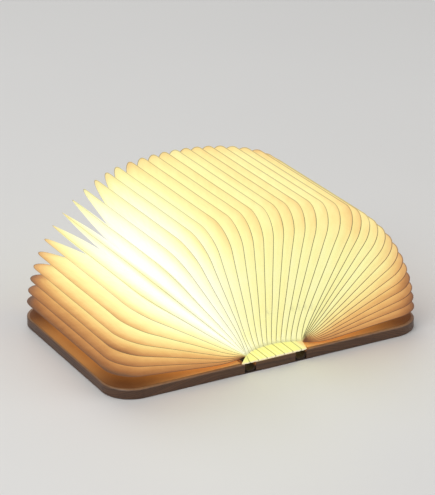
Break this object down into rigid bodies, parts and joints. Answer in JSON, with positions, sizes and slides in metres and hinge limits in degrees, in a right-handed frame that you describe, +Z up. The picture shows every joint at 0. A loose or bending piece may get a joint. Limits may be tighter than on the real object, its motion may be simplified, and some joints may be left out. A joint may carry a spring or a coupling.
{
  "type": "folding book lamp",
  "caption": "Book-shaped lamp with wooden covers and pleated paper pages that fan open over a lit spine when the covers are unfolded.",
  "frame": {"origin": "middle of the footprint of the lamp as it lies open, on the table", "axes": "+X across the open book towards the right cover, +Y along the spine towards the charging socket, +Z up from the table"},
  "size_m": [0.1888, 0.122, 0.0868],
  "materials": {
    "walnut": "oiled walnut veneer with darker grain",
    "page_paper": "matt translucent spun-fibre paper, lit from inside",
    "card": "matt card",
    "end_paper": "matt paper",
    "white_plastic": "moulded, matt",
    "opal_plastic": "opal, satin",
    "board_white": "satin solder mask",
    "led": "phosphor yellow",
    "cell_foil": "satin foil pouch",
    "foam_pad": "soft foam",
    "board_green": "satin solder mask",
    "chip_black": "matt moulded",
    "charge_light": "clear red",
    "socket_steel": "plated sheet steel",
    "wire_red": "satin insulation",
    "wire_black": "satin insulation",
    "screw_steel": "zinc plated",
    "hinge_cloth": "woven book cloth",
    "magnet": "nickel plated"
  },
  "bodies": {
    "spine": {"spine_board": "walnut", "binding_card": "card", "page_root_strips": "card", "light_housing": "white_plastic", "light_diffuser": "opal_plastic", "led_board": "board_white", "led_chips": "led", "battery_cell": "cell_foil", "battery_pad": "foam_pad", "control_board": "board_green", "charge_chip": "chip_black", "hall_sensor": "chip_black", "charge_light": "charge_light", "charging_socket": "socket_steel", "socket_tongue": "chip_black", "battery_leads": "wire_red", "led_leads": "wire_black", "housing_screws": "screw_steel", "left_page_bellows": "page_paper", "right_page_bellows": "page_paper", "left_hinge_cloth": "hinge_cloth", "right_hinge_cloth": "hinge_cloth"},
    "left_cover": {"left_cover_board": "walnut", "left_end_paper": "end_paper", "left_magnets": "magnet"},
    "right_cover": {"right_cover_board": "walnut", "right_end_paper": "end_paper", "right_magnets": "magnet", "trigger_magnet": "magnet"}
  },
  "joints": [
    {"name": "left_cover_hinge", "type": "hinge", "parent": "spine", "child": "left_cover", "pos_m": [-0.012, 0, 0], "axis": [0, 1, 0], "range_deg": [-97, 90], "deforming": ["left_page_bellows", "left_hinge_cloth"]},
    {"name": "right_cover_hinge", "type": "hinge", "parent": "spine", "child": "right_cover", "pos_m": [0.012, 0, 0], "axis": [0, -1, 0], "range_deg": [-97, 90], "deforming": ["right_page_bellows", "right_hinge_cloth"]}
  ]
}
